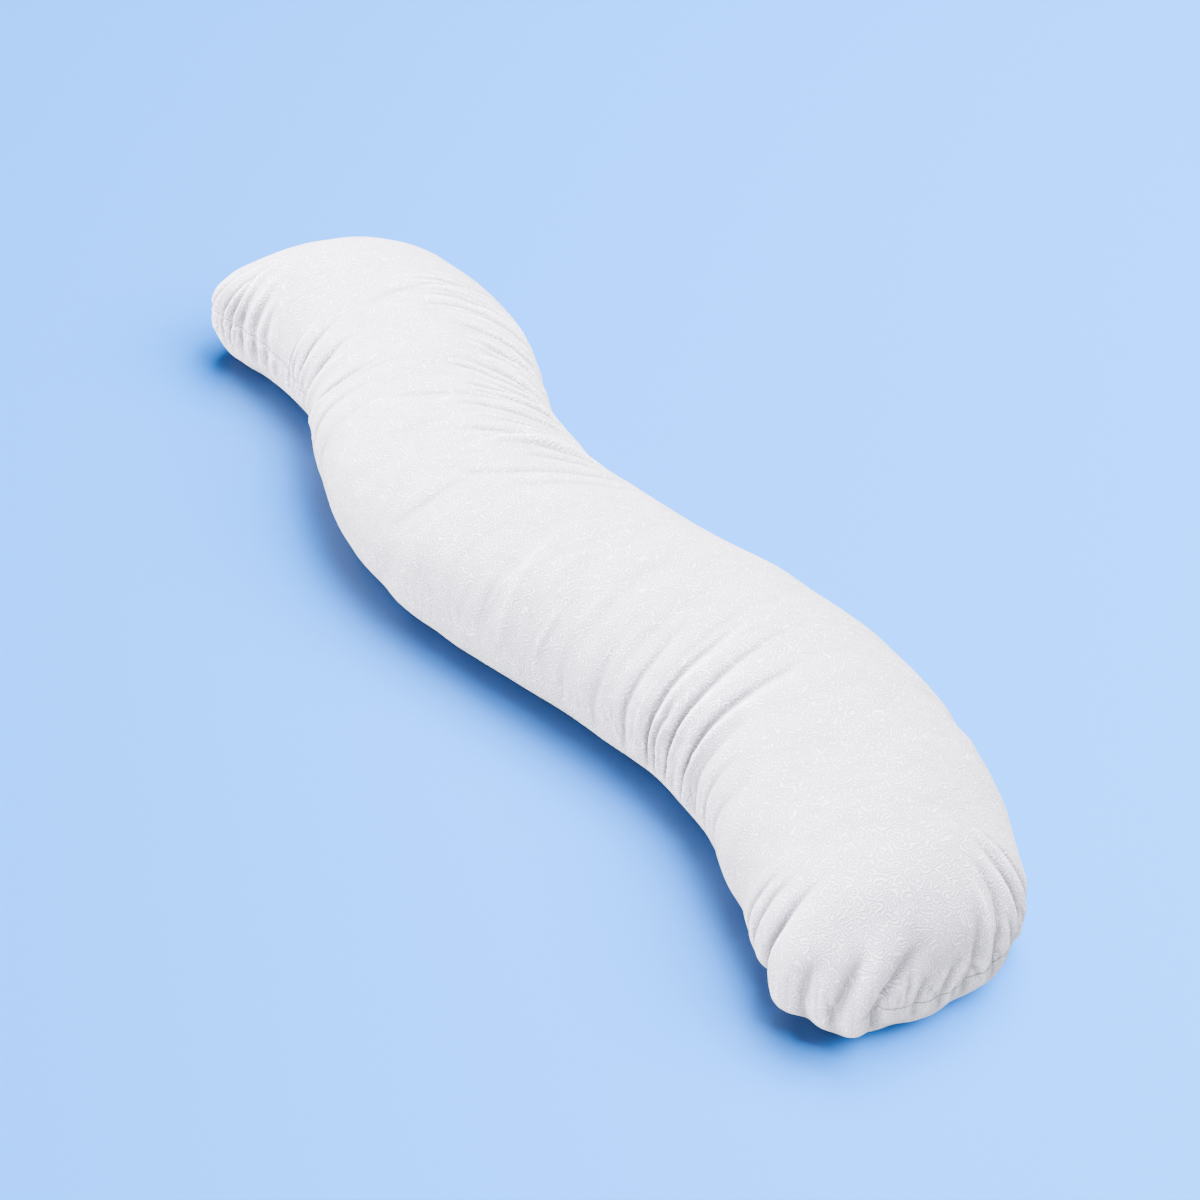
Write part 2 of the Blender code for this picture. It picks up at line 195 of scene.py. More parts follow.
def middle_line(along):
    """Points of the middle line and its direction there: the heading is the sum of the bends, each eased in
    and out by a smoothstep, and the points are the running sum of the direction."""
    fine = np.linspace(0.0, LENGTH, MIDDLE_LINE_POINTS)
    heading = np.full_like(fine, START_HEADING)
    for at, degrees, over in BENDS:
        heading += degrees * smoothstep((fine - at) / over + 0.5)
    ahead = np.stack([np.cos(np.radians(heading)), np.sin(np.radians(heading))], axis=1)
    steps = (ahead[1:] + ahead[:-1]) / 2 * (fine[1] - fine[0])
    points = np.concatenate([np.zeros((1, 2)), np.cumsum(steps, axis=0)])
    both = np.concatenate([points, ahead], axis=1)
    found = np.stack([np.interp(along, fine, both[:, k]) for k in range(4)], axis=-1)
    return found[..., :2], found[..., 2:]


def section_size(along, column):
    """A column of SECTIONS at these places, eased from row to row by a smoothstep."""
    rows = np.array(SECTIONS)
    last = np.clip(np.searchsorted(rows[:, 0], along) - 1, 0, len(rows) - 2)
    share = smoothstep((along - rows[last, 0]) / (rows[last + 1, 0] - rows[last, 0]))
    return rows[last, column] * (1 - share) + rows[last + 1, column] * share


def to_the_right(ahead):
    return np.stack([ahead[..., 1], -ahead[..., 0]], axis=-1)


def side_outline(along, side):
    """Middle and seam points along one long side; side is 1 on the right and -1 on the left."""
    middle, ahead = middle_line(along)
    width = section_size(along, 2 if side > 0 else 1)
    return middle, middle + side * width[:, None] * to_the_right(ahead)


def end_outline(angles, at, reach, power, lean, outwards):
    """Middle and seam points round one end, for angles from the right side: a superellipse whose tip is
    drawn to the left by the lean. Outwards is 1 at the head and -1 at the foot."""
    middle, ahead = middle_line(np.full_like(angles, at))
    across = np.sign(np.cos(angles)) * np.abs(np.cos(angles)) ** (2 / power)
    onwards = np.sin(angles) ** (2 / power)
    width = section_size(np.full_like(angles, at), np.where(across > 0, 2, 1))
    sideways = across * width - lean * onwards**2
    seam = middle + sideways[:, None] * to_the_right(ahead) + (outwards * reach * onwards)[:, None] * ahead
    return middle, seam


USUAL_WIDTH = 0.138  # half-width of the pillow, and the metres of edge to a radian round an end
USUAL_RISE = 0.094  # of the ridge over the seam
USUAL_DROP = 0.067  # of the resting patch under the seam
STRAIGHT = LENGTH - FOOT_LENGTH - HEAD_LENGTH  # of the middle line, between the two round ends
ROUND = STRAIGHT * 2 + np.pi * USUAL_WIDTH * 2  # metres round the whole edge


def round_the_edge(side, place):
    """Metres round the edge, counter-clockwise from above, from the foot end's right corner."""
    if side == "right":
        return place - FOOT_LENGTH
    if side == "head":
        return STRAIGHT + np.radians(place) * USUAL_WIDTH
    if side == "left":
        return STRAIGHT + np.pi * USUAL_WIDTH + (LENGTH - HEAD_LENGTH - place)
    return ROUND - np.radians(place) * USUAL_WIDTH


def quarter_arc(a, b):
    """Length of a quarter of an ellipse with half-axes a and b, near enough."""
    return np.pi / 2 * np.sqrt((a * a + b * b) / 2)


def even_angles(count, at, reach, power, lean, outwards):
    """Angles round one end at even steps along the seam: the running length of the outline is turned round,
    so that equal lengths give the angles."""
    fine = np.linspace(0.0, np.pi, 721)  # four to a degree
    seam = end_outline(fine, at, reach, power, lean, outwards)[1]
    run = np.concatenate([[0.0], np.cumsum(np.linalg.norm(np.diff(seam, axis=0), axis=1))])
    return np.interp(np.linspace(0.0, run[-1], count + 2)[1:-1], run, fine)


HEAD_EDGE = 0.52  # metres of seam round the head end
FOOT_EDGE = 0.44


def edge_columns(step):
    """The columns of the cloth, about a step apart, counter-clockwise from above: middle points, seam points,
    the place along the middle line, metres round the edge, and the ridge point that each column ends on."""
    start, stop = FOOT_LENGTH, LENGTH - HEAD_LENGTH
    places = np.linspace(start, stop, round(STRAIGHT / step) + 1)
    last = len(places) - 1
    head_shape = (stop, HEAD_LENGTH, HEAD_SQUARENESS, HEAD_LEAN, 1)
    foot_shape = (start, FOOT_LENGTH, FOOT_SQUARENESS, FOOT_LEAN, -1)
    head = even_angles(round(HEAD_EDGE / step), *head_shape)
    foot = even_angles(round(FOOT_EDGE / step), *foot_shape)[::-1]
    runs = [
        side_outline(places, 1),
        end_outline(head, *head_shape),
        side_outline(places[::-1], -1),
        end_outline(foot, *foot_shape),
    ]
    middle = np.concatenate([run[0] for run in runs])
    seam = np.concatenate([run[1] for run in runs])
    along = np.concatenate([places, np.full(len(head), stop), places[::-1], np.full(len(foot), start)])
    around = np.concatenate(
        [
            round_the_edge("right", places),
            round_the_edge("head", np.degrees(head)),
            round_the_edge("left", places[::-1]),
            round_the_edge("foot", np.degrees(foot)),
        ]
    )
    ends_on = np.concatenate(
        [
            np.arange(last + 1),
            np.full(len(head), last),
            np.arange(last, -1, -1),
            np.zeros(len(foot), int),
        ]
    )
    return middle, seam, along, around, ends_on, places


CROWN_ARC = quarter_arc(USUAL_WIDTH, USUAL_RISE)
BELLY_ARC = quarter_arc(USUAL_WIDTH * (1 - PATCH_SHARE), USUAL_DROP)


def profile(rows_above, rows_below, crowding):
    """The section's shape from the ridge down to the edge of the resting patch: the share of the half-width,
    the share of the rise above the seam, the share of the drop below it, and the way from the seam along the
    cloth. Rows are drawn towards the seam by a power."""
    above = np.linspace(1.0, 0.0, rows_above + 1) ** crowding
    below = np.linspace(0.0, 1.0, rows_below + 1)[1:] ** crowding
    up = above * np.pi / 2
    down = below * np.pi / 2
    belly = PATCH_SHARE + (1 - PATCH_SHARE) * np.cos(down) ** BELLY_SPREAD
    wide = np.concatenate([np.cos(up) ** CROWN_SPREAD, belly])
    rise = np.concatenate([np.sin(up) ** CROWN_RISE, np.zeros(rows_below)])
    drop = np.concatenate([np.zeros(rows_above + 1), np.sin(down) ** BELLY_SPREAD])
    way = np.concatenate([above * CROWN_ARC, -below * BELLY_ARC])
    wide[0] = 0.0
    drop[-1] = 1.0
    return wide, rise, drop, way


def plain_form(columns, rows):
    """The pillow without gathers, columns round the edge by rows from the ridge down, and its normals: the
    cross product of the way down and the way round."""
    middle, seam, along = columns[:3]
    wide, rise, drop = rows[:3]
    seam_height = section_size(along, 3)[:, None]
    ridge_height = section_size(along, 4)[:, None]
    flat = middle[:, None] + (seam - middle)[:, None] * wide[None, :, None]
    high = seam_height * (1 - drop) + (ridge_height - seam_height) * rise
    grid = np.concatenate([flat, high[..., None]], axis=2)
    normal = np.cross(np.gradient(grid, axis=1), np.roll(grid, -1, axis=0) - np.roll(grid, 1, axis=0))
    return grid, normal / np.maximum(np.linalg.norm(normal, axis=2, keepdims=True), 1e-9)


def from_place(around, place):
    """Signed distance round the edge from a place, the short way."""
    return (around - place + ROUND / 2) % ROUND - ROUND / 2


def fade(way, up, down):
    """1 at the seam, easing to 0 at a distance up over the crown and down under the belly, over the last
    three quarters and four fifths of it."""
    over = smoothstep((up - way) / (0.75 * up))
    under = smoothstep((down + way) / (0.80 * down))
    return np.where(way > 0, over, under)


def valley(off):
    """A gather's cross-section for distances in its own widths: 1 in its rounded bottom, falling off as an
    exponential, with a low swell of the cloth that it takes up on both sides."""
    bottom = 0.25
    beside = 0.35
    sharp = np.exp(bottom - np.sqrt(off**2 + bottom**2))
    return (1 + beside) * sharp - beside * np.exp(-((off / 2.4) ** 2))


def swell(off):
    """A puff's cross-section: a bell curve."""
    return np.exp(-(off**2))


def tuck(off):
    """A tuck's cross-section: 1 on its crest, which is narrow, falling off to a long soft foot."""
    return np.exp(-np.abs(off) ** 1.3)


BOW_WAY = 0.12  # the way up at which a fold's bow is what its table says
WAVER = 0.0025  # how far a fold's line wavers sideways
WAVER_LENGTH = 0.024  # of the waver, over one radian


def fold_relief(around, way, folds, shape):
    """Sum of a table of folds, each a shape across its line and faded along it. The line leans evenly on its
    way up and bows by the fourth power of the way; each widens and wavers a little as it rises."""
    height = np.zeros((len(around), len(way)))
    around = around[:, None]
    way = way[None, :]
    for number, (side, place, up, down, tall, width, lean, bow) in enumerate(folds):
        share = np.clip(way / up, 0.0, 1.0)
        towards = 1.0 if side in ("right", "head") else -1.0
        shift = towards * (lean * share + bow * np.clip(way / BOW_WAY, 0.0, 1.2) ** 4)
        waver = WAVER * np.sin(way / WAVER_LENGTH + 2.4 * number) * share
        off = from_place(around, round_the_edge(side, place)) - shift - waver
        height += tall * shape(off / (width * (0.85 + 0.5 * share))) * fade(way, up, down)
    return height


SMALL_GATHER_SPACING = (0.006, 0.014)
SMALL_GATHER_UP = (0.015, 0.055)
SMALL_GATHER_DOWN = (0.008, 0.024)
SMALL_GATHER_DEPTH = (0.0016, 0.0046)
SMALL_GATHER_WIDTH = (0.0022, 0.0042)
SMALL_GATHER_LEAN = (-0.008, 0.008)
SMALL_GATHER_REACH = 0.035  # how far round the edge one can be felt
GATHERED_DEPTH = 0.012  # depth of a main gather that takes up all the spare cloth beside it
GATHERED_REACH = 0.024


def fullness(around):
    """How much spare cloth there is at each place round the edge, 0 to 1: the sum of a bell curve for each
    main gather, by its depth."""
    spare = np.full_like(around, 0.08)
    for side, place, up, down, depth, width, lean, bow in GATHERS:
        off = from_place(around, round_the_edge(side, place)) / GATHERED_REACH
        spare += depth / GATHERED_DEPTH * np.exp(-(off**2))
    return np.clip(spare, 0.0, 1.0)


def seam_shows(around):
    """1 where the seam is seen, and 0 where the filled cloth closes over it: from the left side's upper bend
    down to the foot, and on round the foot end to its deepest gather."""
    first = round_the_edge("left", 1.02)
    last = round_the_edge("foot", 90)
    closed = smoothstep((around - first) / 0.08) * smoothstep((last - around) / 0.012)
    return 1.0 - closed


def small_gathers(around, way):
    """How deep the short puckers are that cross the seam between the main gathers: seeded places, lengths and
    depths, deeper where the cloth is fuller and fainter where it closes over the seam."""
    random = np.random.default_rng(11)
    places = np.cumsum(random.uniform(*SMALL_GATHER_SPACING, 420))
    places = places[places < ROUND]
    full = fullness(places) * (0.35 + 0.65 * seam_shows(places))
    deep = np.zeros((len(around), len(way)))
    for place, share in zip(places, full):
        up = random.uniform(*SMALL_GATHER_UP) * (0.6 + 0.6 * share)
        down = random.uniform(*SMALL_GATHER_DOWN)
        depth = random.uniform(*SMALL_GATHER_DEPTH) * (0.10 + 0.90 * share)
        width = random.uniform(*SMALL_GATHER_WIDTH)
        lean = random.uniform(*SMALL_GATHER_LEAN)
        near = np.abs(from_place(around, place)) < SMALL_GATHER_REACH
        rows = (way < up) & (way > -down)
        ways = way[rows][None, :]
        off = (from_place(around[near], place)[:, None] - lean * ways / up) / width
        deep[np.ix_(near, rows)] += depth * np.exp(-np.abs(off) ** 1.5) * fade(ways, up, down)
    return deep


def lumps(points, waves, shortest, longest, seed):
    """Uneven filling: the mean of seeded plane waves of many directions and lengths, about -1 to 1."""
    random = np.random.default_rng(seed)
    ways = random.normal(size=(waves, 3))
    ways *= (2 * np.pi / random.uniform(shortest, longest, waves) / np.linalg.norm(ways, axis=1))[:, None]
    starts = random.uniform(0, 2 * np.pi, waves)
    return np.sin(points @ ways.T + starts).sum(axis=-1) / np.sqrt(waves)


# Drag lines that cross the ridge, valleys and, with a negative depth, thin crests: the place on the ridge,
# the middle of the line to the right of the ridge, its half-length across, depth, width, and how far it
# slants and bows towards the head.
DRAGS = [
    # along, across, reach, depth, width, slant, bow
    (0.803, 0.045, 0.080, 0.0025, 0.011, -0.90, 0.0),
    (0.838, 0.045, 0.100, 0.0040, 0.010, -0.90, 0.0),
    (0.866, 0.080, 0.070, 0.0044, 0.008, -0.50, -3.0),
    (0.888, 0.085, 0.060, 0.0052, 0.008, -0.30, -4.0),
    (0.910, 0.075, 0.080, -0.0030, 0.007, -0.60, -2.0),
    (0.930, 0.070, 0.100, 0.0070, 0.009, -0.70, -1.0),
    (0.953, 0.080, 0.070, 0.0035, 0.006, -0.40, -3.5),
    (0.975, 0.075, 0.090, 0.0055, 0.009, 0.00, -6.0),
    (1.003, 0.010, 0.080, 0.0030, 0.012, -0.30, -2.0),
    (1.004, 0.095, 0.060, 0.0044, 0.007, 0.10, -5.0),
    (1.030, 0.085, 0.055, 0.0032, 0.006, 0.00, -4.0),
    (1.052, 0.085, 0.065, 0.0028, 0.006, -0.15, -2.6),
    (1.075, 0.085, 0.075, 0.0044, 0.008, -0.25, -2.2),
    (1.091, 0.095, 0.055, 0.0048, 0.006, 0.15, -3.0),
    (1.112, 0.105, 0.060, 0.0035, 0.006, 0.05, -2.6),
    (1.140, 0.090, 0.080, 0.0050, 0.008, -0.10, -2.2),
    (1.163, 0.100, 0.060, 0.0030, 0.006, 0.05, -2.8),
    (1.186, 0.095, 0.060, 0.0035, 0.007, 0.05, -3.0),
    (1.215, 0.030, 0.090, 0.0032, 0.012, 0.10, -3.5),
    (1.236, 0.090, 0.060, 0.0026, 0.007, 0.10, -3.5),
    (0.895, 0.060, 0.060, -0.0026, 0.0045, -0.20, -6.0),
    (0.955, 0.075, 0.080, -0.0024, 0.0045, -0.30, -5.0),
    (0.995, 0.080, 0.045, -0.0026, 0.004, 0.50, -7.5),
    (1.065, 0.090, 0.060, -0.0030, 0.0045, 0.35, -4.5),
    (1.090, 0.095, 0.050, -0.0028, 0.004, 0.50, -5.0),
    (1.128, 0.095, 0.060, -0.0022, 0.0045, 0.20, -3.5),
    (1.172, 0.095, 0.055, -0.0020, 0.004, 0.20, -3.5),
    (1.230, 0.070, 0.060, -0.0022, 0.0045, 0.20, -5.0),
    (0.395, -0.080, 0.130, 0.0022, 0.012, 0.10, 0.6),
    (0.440, -0.070, 0.150, 0.0026, 0.012, 0.06, 0.5),
    (0.490, -0.075, 0.140, 0.0022, 0.011, 0.00, 0.4),
    (0.540, -0.070, 0.140, 0.0016, 0.013, -0.05, 0.3),
    (0.600, -0.060, 0.150, 0.0013, 0.015, -0.05, 0.2),
    (0.655, -0.050, 0.150, 0.0010, 0.016, -0.05, 0.2),
    (1.080, -0.080, 0.110, 0.0022, 0.012, 0.00, 0.0),
]


def fine_creases(count):
    """Rows like those of DRAGS for the short fine creases between them round the right side's bend, with
    seeded places and sizes. They slope back towards the foot, less so nearer the head: the slope is a
    straight line of the place, and the bow makes up what the slant leaves of it."""
    random = np.random.default_rng(5)
    at = random.uniform(0.88, 1.24, count)
    across = random.uniform(0.045, 0.125, count)
    reach = random.uniform(0.030, 0.060, count)
    depth = random.uniform(-0.0034, 0.0044, count)
    width = random.uniform(0.0028, 0.0045, count)
    slope = 1.3 * (at - 0.9) - 0.95
    slant = np.full(count, -0.2)
    return np.stack([at, across, reach, depth, width, slant, (slope - slant) / 0.18], axis=1)


def soft_waves(count):
    """Rows like those of DRAGS for the faint, broad waves of the cloth on the left half between the bends."""
    random = np.random.default_rng(8)
    at = random.uniform(0.54, 1.02, count)
    across = random.uniform(-0.150, -0.010, count)
    reach = random.uniform(0.040, 0.090, count)
    depth = random.uniform(-0.0016, 0.0016, count)
    width = random.uniform(0.007, 0.013, count)
    slant = random.uniform(-0.30, 0.10, count)
    return np.stack([at, across, reach, depth, width, slant, np.zeros(count)], axis=1)


FINE_CREASES = 80
SOFT_WAVES = 34
LEVELS_OUT = 0.14  # the way across at which the drag lines stop turning


def drag_lines(along, places, way):
    """How deep the long valleys over the ridge are: the place of each is a parabola of the way across, which
    levels out, and its depth a flat-topped bell of it; none on the belly and none round the ends."""
    right = np.zeros(len(along), bool)
    right[: len(places)] = True
    side = np.where(right, 1.0, -1.0)[:, None]
    across = side * (CROWN_ARC - way[None, :])
    deep = np.zeros((len(along), len(way)))
    bent = across / (1.0 + (across / LEVELS_OUT) ** 4) ** 0.25
    lines = [*DRAGS, *fine_creases(FINE_CREASES), *soft_waves(SOFT_WAVES)]
    for at, centre, reach, depth, width, slant, bow in lines:
        line = at + slant * bent + bow * bent**2
        share = np.exp(-(((across - centre) / (0.6 * reach)) ** 4))
        deep += depth * valley((along[:, None] - line) / width) * share
    ends = smoothstep((along - places[0]) / 0.10) * smoothstep((places[-1] - along) / 0.10)
    return deep * ends[:, None] * smoothstep((way + 0.01) / 0.03)


SEAM_RISE_HEAD = 0.016  # how far over the outline's edge the seam runs round the head end's left corner
SEAM_RISE_FOOT = -0.006  # and under it along the foot end's right half
SEAM_RISE_REACH = (0.09, 0.10)  # of both, round the edge


def seam_way(around, way):
    """How far each place lies over the seam, along the cloth. The seam runs a little over the outline's edge
    at one place and under it at another, by flat-topped bells."""
    head = np.exp(-((from_place(around, round_the_edge("head", 150)) / SEAM_RISE_REACH[0]) ** 4))
    foot = np.exp(-((from_place(around, round_the_edge("foot", 50)) / SEAM_RISE_REACH[1]) ** 4))
    return way[None, :] - (SEAM_RISE_HEAD * head + SEAM_RISE_FOOT * foot)[:, None]


def closed_mesh(grid, ends_on, places):
    """The closed mesh of a grid: its columns share the points of the ridge and of the patch's middle line."""
    wide, high = grid.shape[:2]
    ridge = grid[: len(places), 0]
    points = np.concatenate([grid[:, 1:].reshape(-1, 3), ridge, ridge * [1, 1, 0]])
    points -= (points.min(axis=0) + points.max(axis=0)) / 2 * [1, 1, 0]
    first_ridge = wide * (high - 1)
    number = np.empty((wide, high + 1), int)
    number[:, 0] = first_ridge + ends_on
    number[:, 1:-1] = np.arange(first_ridge).reshape(wide, high - 1)
    number[:, -1] = first_ridge + len(places) + ends_on
    beside = np.roll(number, -1, axis=0)
    corners = np.stack([number[:, :-1], number[:, 1:], beside[:, 1:], beside[:, :-1]], axis=2)
    faces = [list(dict.fromkeys(face)) for face in corners.reshape(-1, 4).tolist()]
    mesh = bpy.data.meshes.new("filled cover")
    mesh.from_pydata(points.tolist(), [], faces)
    mesh.shade_smooth()
    return mesh


OFF_THE_FLOOR = 0.03  # height at which the cloth is free of the floor it rests on
PRESSED_STEP = 0.009  # between the columns of the coarser cover that is blown up
PRESSED_ROWS = (20, 10)  # of it, above and below the seam
PRESSED_SLACK = 0.004  # how much smaller it starts
PRESSED_FRAMES = 20
PRESSED_GAIN = 1.6
PRESSED_CAP = 0.0025
PRESSED_UP = 0.155  # how far over the seam its wrinkles reach, and how far under it
PRESSED_DOWN = 0.075
PRESSED_FADES = (0.06, 0.03)  # over what length they fade out, over the seam and under it
PRESSED_HELD = 0.004  # height under which it is held


def pressed_out(around, way):
    """How far the filling presses each place of the cloth out, without the broad part: a coarser cover that
    starts a little smaller is blown up as cloth, its resting patch held. Its movement along the normals is
    smoothed, its own wide blur is taken off, it is capped and faded towards the ridge, and read here."""
    columns = edge_columns(PRESSED_STEP)
    rows = profile(*PRESSED_ROWS, 1.0)
    form, normal = plain_form(columns, rows)
    place, over = columns[3], rows[3]
    relief = fold_relief(place, over, PUFFS, swell) - fold_relief(place, over, GATHERS, valley)
    free = smoothstep(form[..., 2] / OFF_THE_FLOOR)
    slack = form + normal * ((0.5 * relief - PRESSED_SLACK) * free)[..., None]
    slack[..., 2] = np.maximum(slack[..., 2], 0.0)
    cloth = bpy.data.objects.new("pressed cloth", closed_mesh(slack, columns[4], columns[5]))
    bpy.context.scene.collection.objects.link(cloth)
    before = np.empty(len(cloth.data.vertices) * 3)
    cloth.data.vertices.foreach_get("co", before)
    held = cloth.vertex_groups.new(name="held")
    held.add(np.flatnonzero(before[2::3] < PRESSED_HELD).tolist(), 1.0, "REPLACE")
    pressure = cloth.modifiers.new("pressure", "CLOTH")
    pressure.settings.vertex_group_mass = "held"
    pressure.settings.quality = 5
    pressure.settings.mass = 0.15
    pressure.settings.tension_stiffness = 10.0
    pressure.settings.compression_stiffness = 10.0
    pressure.settings.shear_stiffness = 3.3
    pressure.settings.bending_stiffness = 0.8
    pressure.settings.use_pressure = True
    pressure.settings.uniform_pressure_force = 6.0
    pressure.settings.effector_weights.gravity = 0.0
    pressure.collision_settings.use_collision = False
    pressure.point_cache.frame_start = 1
    pressure.point_cache.frame_end = PRESSED_FRAMES + 1
    for number in range(1, PRESSED_FRAMES + 1):
        bpy.context.scene.frame_set(number)
    after = np.empty_like(before)
    pressed = cloth.evaluated_get(bpy.context.evaluated_depsgraph_get())
    pressed.to_mesh().vertices.foreach_get("co", after)
    wide, high = normal.shape[:2]
    moved = np.zeros_like(normal)
    moved[:, 1:] = (after - before)[: wide * (high - 1) * 3].reshape(wide, high - 1, 3)
    pressed.to_mesh_clear()
    mesh = cloth.data
    bpy.data.objects.remove(cloth)
    bpy.data.meshes.remove(mesh)
    bpy.context.scene.frame_set(1)
    out = smooth_round((moved * normal).sum(axis=2), 2)
    out = np.clip(PRESSED_GAIN * (out - smooth_round(out, 16)), -PRESSED_CAP, PRESSED_CAP)
    shown = smoothstep((PRESSED_UP - over) / PRESSED_FADES[0])
    out *= shown * smoothstep((over + PRESSED_DOWN) / PRESSED_FADES[1])
    here = np.stack([np.interp(around, place, row, period=ROUND) for row in out.T], axis=1)
    share = np.stack([np.interp(-way, -over, one) for one in np.eye(high)])
    return smooth_round(here @ share, 7)


def smooth_round(values, turns):
    """Values smoothed along the edge: each turn takes half of a value and a quarter of both beside it."""
    for _ in range(turns):
        values = (np.roll(values, 1, axis=0) + values * 2 + np.roll(values, -1, axis=0)) / 4
    return values


COLUMN_STEP = 0.0021
ROWS_ABOVE = 42
ROWS_BELOW = 16
ROW_CROWDING = 1.35  # power that draws them towards the seam
LUMP_HEIGHT = 0.0011
FINE_LUMP_HEIGHT = 0.00016

# The fine cover: the plain form, and how far each place of it stands off that form along its normal.
columns = edge_columns(COLUMN_STEP)
along, around, ends_on, places = columns[2:]
rows = profile(ROWS_ABOVE, ROWS_BELOW, ROW_CROWDING)
way = rows[3]
grid, normal = plain_form(columns, rows)
stand = fold_relief(around, way, PUFFS, swell) - fold_relief(around, way, GATHERS, valley)
stand += fold_relief(around, way, TUCKS, tuck) - small_gathers(around, way)
over_seam = seam_way(around, way)
shows = seam_shows(around)[:, None]
held = SEAM_HOLD * np.clip(stand, -SEAM_HOLD_DEPTH, SEAM_HOLD_DEPTH)
stand -= held * np.exp(-((over_seam / SEAM_HOLD_WIDTH) ** 2)) * shows
stand -= drag_lines(along, places, way)
stand -= SEAM_PINCH * np.exp(-((over_seam / SEAM_PINCH_WIDTH) ** 2)) * shows
uneven = LUMP_HEIGHT * lumps(grid, 40, 0.07, 0.19, 3) + FINE_LUMP_HEIGHT * lumps(grid, 40, 0.018, 0.045, 7)
stand += uneven * smoothstep(grid[..., 2] / OFF_THE_FLOOR)
stand += pressed_out(around, way)
stand[:, -1] = 0.0
grid += normal * stand[..., None]
grid[..., 2] = np.maximum(grid[..., 2], 0.0)


CREST_HEIGHT = 0.0005  # over the cloth beside it, of a crest that takes the full painted highlight
FOLD_HEIGHT = 0.003


def painted_fold_shading(stand):
    """How high each place stands over the cloth around it, -1 to 1: the relief less its own blur, once with a
    wide blur for the folds and once with a narrow one for their crests. The cover's colour paints shade from
    it into the folds' valleys and a highlight onto their crests."""
    crests = (stand - smooth_round(stand, 5)) / CREST_HEIGHT
    folds = (stand - smooth_round(stand, 32)) / FOLD_HEIGHT
    return np.clip(0.7 * crests + 0.7 * folds, -1.0, 1.0)


def on_the_panel(columns, way):
    """Where each place lies on its flat panel: out from the middle line along its column by the length of
    cloth from the ridge, which is a quarter of an ellipse as far as the seam."""
    middle, seam, along = columns[:3]
    width = np.linalg.norm(seam - middle, axis=1, keepdims=True)
    rise = (section_size(along, 4) - section_size(along, 3))[:, None]
    out = quarter_arc(width, rise) * (1 - way[None, :] / CROWN_ARC)
    flat = middle[:, None] + ((seam - middle) / width)[:, None] * out[..., None]
    return np.concatenate([flat, np.zeros_like(out)[..., None]], axis=2)


def cover_values(values, places):
    """Values of the grid in the order of the mesh's points."""
    ridge = values[: len(places), 0]
    patch = values[: len(places), -1]
    return np.concatenate([values[:, 1:].ravel(), ridge.ravel(), patch.ravel()]).astype(np.float32)


cover = bpy.data.objects.new("filled_cover", closed_mesh(grid, ends_on, places))
bpy.context.scene.collection.objects.link(cover)
seam_seen = np.repeat(shows, len(way), axis=1)
# The first attribute carries the painted shade of the folds' valleys and the painted highlight of their
# crests.
for name, values in (("painted_fold_shade", painted_fold_shading(stand)), ("seam_way", over_seam), ("seam_shows", seam_seen)):
    layer = cover.data.attributes.new(name, "FLOAT", "POINT")
    layer.data.foreach_set("value", cover_values(values, places))
layer = cover.data.attributes.new("panel", "FLOAT_VECTOR", "POINT")
layer.data.foreach_set("vector", cover_values(on_the_panel(columns, way), places))


def add(tree, kind, place, **values):
    """A node of this kind at this place in its tree, with its inputs' values and its properties by name."""
    made = tree.nodes.new(kind)
    made.location = place
    for name, value in values.items():
        if name in made.inputs:
            made.inputs[name].default_value = value
        else:
            setattr(made, name, value)
    return made


knit = bpy.data.materials.new("brushed knit")
knit.use_nodes = True
tree = knit.node_tree
shader = tree.nodes["Principled BSDF"]
shader.inputs["Roughness"].default_value = 0.92
shader.inputs["Sheen Weight"].default_value = 0.45
shader.inputs["Sheen Roughness"].default_value = 0.35
shader.inputs["Specular IOR Level"].default_value = 0.25
spot = add(tree, "ShaderNodeTexCoord", (-1600, 0))

# Embossed curls: rings at even steps round the nearest of scattered points on the flat panel, bent by a
# noise.
flat = add(tree, "ShaderNodeAttribute", (-1600, -200), attribute_name="panel")
bend = add(tree, "ShaderNodeTexNoise", (-1400, -300), Scale=90.0, Detail=0.0)
tree.links.new(flat.outputs["Vector"], bend.inputs["Vector"])
bent = add(tree, "ShaderNodeVectorMath", (-1200, -200), operation="MULTIPLY_ADD")
tree.links.new(bend.outputs["Color"], bent.inputs[0])
bent.inputs[1].default_value = (0.010, 0.010, 0.010)
tree.links.new(flat.outputs["Vector"], bent.inputs[2])
curls = add(tree, "ShaderNodeTexVoronoi", (-1000, -200), voronoi_dimensions="2D", Scale=105.0)
tree.links.new(bent.outputs["Vector"], curls.inputs["Vector"])
turns = add(tree, "ShaderNodeMath", (-800, -200), operation="MULTIPLY")
turns.inputs[1].default_value = 20.0
tree.links.new(curls.outputs["Distance"], turns.inputs[0])
lines = add(tree, "ShaderNodeMath", (-600, -200), operation="SINE")
tree.links.new(turns.outputs[0], lines.inputs[0])
raised = add(tree, "ShaderNodeMapRange", (-400, -200), interpolation_type="SMOOTHSTEP")
raised.inputs["From Min"].default_value = -0.50
raised.inputs["From Max"].default_value = 0.90
tree.links.new(lines.outputs[0], raised.inputs["Value"])
